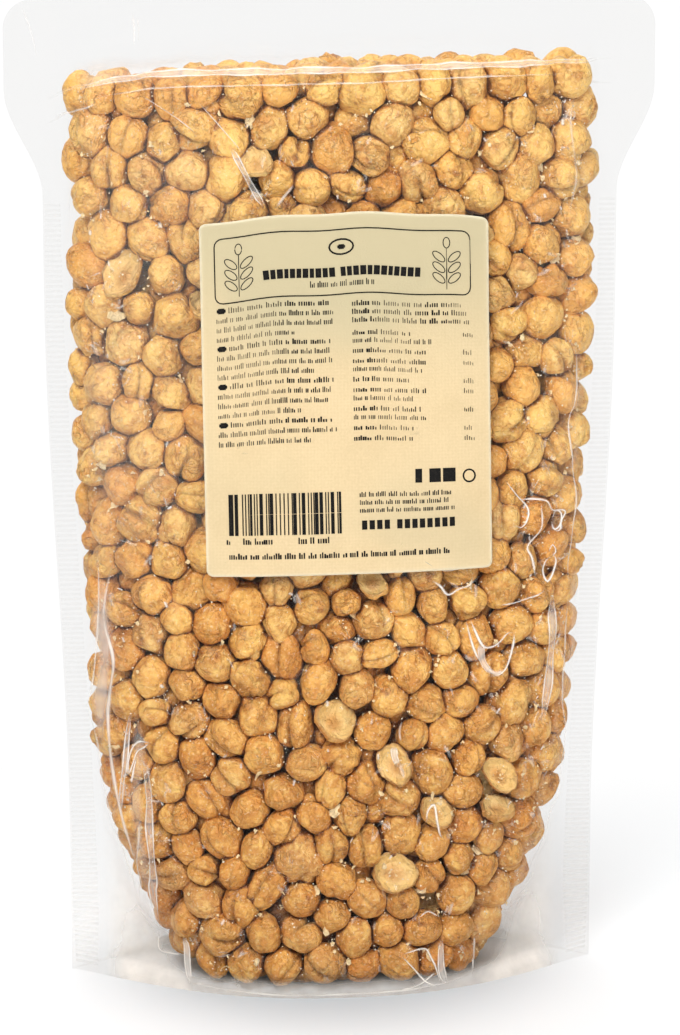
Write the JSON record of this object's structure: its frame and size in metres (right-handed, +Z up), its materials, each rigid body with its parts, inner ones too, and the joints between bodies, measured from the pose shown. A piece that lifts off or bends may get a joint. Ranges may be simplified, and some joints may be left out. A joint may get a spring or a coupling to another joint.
{
  "type": "bag of roasted chickpeas",
  "caption": "Clear stand-up film pouch packed tightly with roasted chickpeas, with flat side seals, an empty top flap and a plain paper label.",
  "frame": {"origin": "middle of the flat base that the pouch stands on", "axes": "+Z up from the base to the top flap, +X across the pouch to the right as seen from the front, +Y from the labelled front to the back"},
  "size_m": [0.185, 0.0715, 0.2844],
  "materials": {
    "roasted_chickpeas": "dry roasted skins, golden tan, seen through clear film",
    "clear_film": "clear glossy film, milky where it is sealed or creased",
    "label_paper": "uncoated cream paper with fine grain and plain grey-brown marks"
  },
  "bodies": {
    "root": {"filled_pouch": "roasted_chickpeas", "paper_label": "label_paper"}
  },
  "joints": []
}
